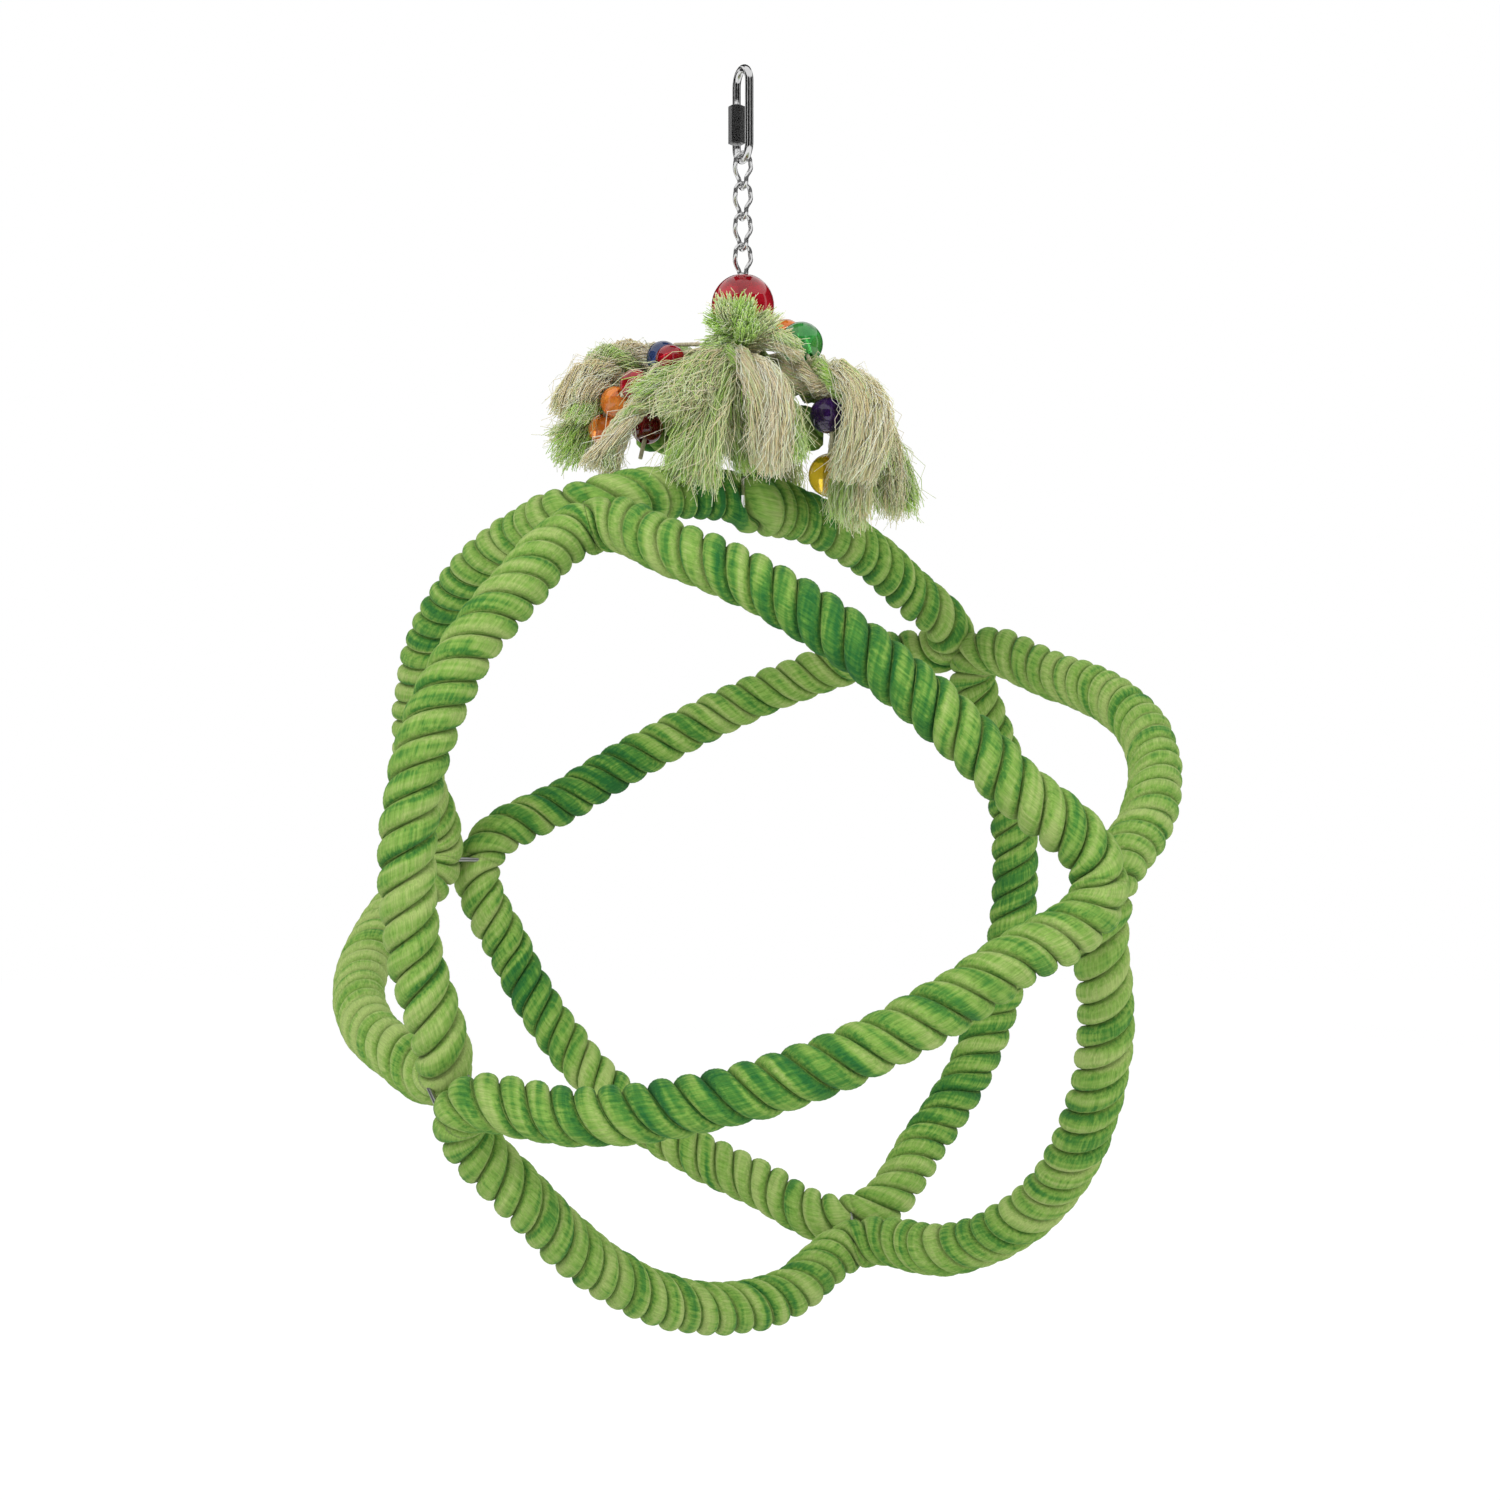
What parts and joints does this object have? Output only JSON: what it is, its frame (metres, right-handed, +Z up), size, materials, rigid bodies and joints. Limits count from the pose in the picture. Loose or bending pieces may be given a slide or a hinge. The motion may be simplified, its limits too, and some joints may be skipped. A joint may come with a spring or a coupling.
{
  "type": "rope ball swing",
  "caption": "Hanging ball of thick green laid cotton rope for a large pet bird, on a short chain with a quick link, with frayed cotton tassels and strung beads above the ball.",
  "frame": {"origin": "inside top of the quick link's upper bow, where the hook carries it", "axes": "+Z up along the hanging axis, front of the swing towards -Y, +X to the right seen from the front"},
  "size_m": [0.4016, 0.3943, 0.6074],
  "materials": {
    "bright_steel": "bright",
    "dark_steel": "bright",
    "wire": "satin",
    "rope": "soft laid cotton, tie-dyed green",
    "sage_tassel": "frayed cotton",
    "cream_tassel": "frayed cotton",
    "cord": "matt cotton",
    "red_bead": "gloss",
    "orange_bead": "gloss",
    "navy_bead": "gloss",
    "garnet_bead": "gloss",
    "green_bead": "gloss",
    "plum_bead": "gloss",
    "yellow_bead": "gloss"
  },
  "bodies": {
    "hanger": {"quick_link_body": "bright_steel"},
    "sleeve": {"quick_link_sleeve": "dark_steel"},
    "link_1": {"chain_link_1": "bright_steel"},
    "link_2": {"chain_link_2": "bright_steel"},
    "link_3": {"chain_link_3": "bright_steel"},
    "ball": {"chain_link_4": "bright_steel", "stem_wire": "bright_steel", "cord_wrapping": "cord", "cross_rope": "rope", "rope_arc_1": "rope", "rope_arc_2": "rope", "rope_arc_3": "rope", "rope_arc_4": "rope", "rope_arc_5": "rope", "rope_arc_6": "rope", "rope_arc_7": "rope", "rope_arc_8": "rope", "rope_arc_9": "rope", "rope_arc_10": "rope", "rope_arc_11": "rope", "rope_arc_12": "rope", "core_wire": "wire", "binding_ring_1": "wire", "binding_ring_2": "wire", "binding_ring_3": "wire", "binding_ring_4": "wire", "binding_ring_5": "wire", "binding_ring_6": "wire", "tassel_1": "cream_tassel", "tassel_2": "sage_tassel", "tassel_3": "cream_tassel", "tassel_4": "sage_tassel", "tassel_5": "cream_tassel", "tassel_6": "sage_tassel", "tassel_7": "cream_tassel", "tassel_8": "cream_tassel", "tassel_9": "sage_tassel", "tassel_10": "sage_tassel", "tassel_11": "sage_tassel", "tassel_12": "cream_tassel", "tassel_13": "sage_tassel", "bead_string_left": "cord", "bead_string_inner": "cord", "bead_string_right": "cord"},
    "top_bead": {"top_bead": "red_bead"},
    "bead_left_scarlet": {"bead_left_scarlet": "red_bead"},
    "bead_left_ruby": {"bead_left_ruby": "red_bead"},
    "bead_left_amber": {"bead_left_amber": "orange_bead"},
    "bead_left_tangerine": {"bead_left_tangerine": "orange_bead"},
    "bead_inner_navy": {"bead_inner_navy": "navy_bead"},
    "bead_inner_garnet": {"bead_inner_garnet": "garnet_bead"},
    "bead_right_orange": {"bead_right_orange": "orange_bead"},
    "bead_right_green": {"bead_right_green": "green_bead"},
    "bead_right_plum": {"bead_right_plum": "plum_bead"},
    "bead_right_yellow": {"bead_right_yellow": "yellow_bead"}
  },
  "joints": [
    {"name": "sleeve_screw", "type": "slide", "parent": "hanger", "child": "sleeve", "axis": [0, 0, 1], "range_m": [0, 0.008]},
    {"name": "chain_swing_1", "type": "hinge", "parent": "hanger", "child": "link_1", "pos_m": [0, 0, -0.0415], "axis": [0.4226, -0.9063, 0], "range_deg": [-35, 35]},
    {"name": "chain_swing_2", "type": "hinge", "parent": "link_1", "child": "link_2", "pos_m": [0, 0, -0.05285], "axis": [0.9063, 0.4226, 0], "range_deg": [-35, 35]},
    {"name": "chain_swing_3", "type": "hinge", "parent": "link_2", "child": "link_3", "pos_m": [0, 0, -0.06995], "axis": [0.4226, -0.9063, 0], "range_deg": [-35, 35]},
    {"name": "ball_swing", "type": "hinge", "parent": "link_3", "child": "ball", "pos_m": [0, 0, -0.08225], "axis": [0.9063, 0.4226, 0], "range_deg": [-35, 35]},
    {"name": "top_bead_spin", "type": "hinge", "parent": "ball", "child": "top_bead", "pos_m": [0, 0, -0.1114], "axis": [0, 0, 1], "continuous": true},
    {"name": "bead_left_scarlet_spin", "type": "hinge", "parent": "ball", "child": "bead_left_scarlet", "pos_m": [-0.034, -0.023, -0.141], "axis": [-0.8608, -0.2633, -0.4355], "continuous": true},
    {"name": "bead_left_ruby_spin", "type": "hinge", "parent": "ball", "child": "bead_left_ruby", "pos_m": [-0.0505, -0.02, -0.1525], "axis": [-0.7357, 0.4719, -0.4858], "continuous": true},
    {"name": "bead_left_amber_spin", "type": "hinge", "parent": "ball", "child": "bead_left_amber", "pos_m": [-0.0605, -0.006, -0.1585], "axis": [-0.4611, 0.7405, -0.489], "continuous": true},
    {"name": "bead_left_tangerine_spin", "type": "hinge", "parent": "ball", "child": "bead_left_tangerine", "pos_m": [-0.067, 0.0065, -0.17], "axis": [-0.1052, 0.4507, -0.8864], "continuous": true},
    {"name": "bead_inner_navy_spin", "type": "hinge", "parent": "ball", "child": "bead_inner_navy", "pos_m": [-0.038, -0.006, -0.1375], "axis": [-0.5921, -0.3604, -0.7208], "continuous": true},
    {"name": "bead_inner_garnet_spin", "type": "hinge", "parent": "ball", "child": "bead_inner_garnet", "pos_m": [-0.045, -0.021, -0.173], "axis": [-0.1799, -0.3777, -0.9083], "continuous": true},
    {"name": "bead_right_orange_spin", "type": "hinge", "parent": "ball", "child": "bead_right_orange", "pos_m": [0.021, 0.02, -0.122], "axis": [0.947, -0.3157, 0.0592], "continuous": true},
    {"name": "bead_right_green_spin", "type": "hinge", "parent": "ball", "child": "bead_right_green", "pos_m": [0.028, 0.002, -0.1295], "axis": [0.2979, -0.6429, -0.7056], "continuous": true},
    {"name": "bead_right_plum_spin", "type": "hinge", "parent": "ball", "child": "bead_right_plum", "pos_m": [0.04, -0.021, -0.167], "axis": [0.2169, 0.0155, -0.9761], "continuous": true},
    {"name": "bead_right_yellow_spin", "type": "hinge", "parent": "ball", "child": "bead_right_yellow", "pos_m": [0.042, 0.003, -0.1925], "axis": [0.0398, 0.517, -0.8551], "continuous": true}
  ]
}
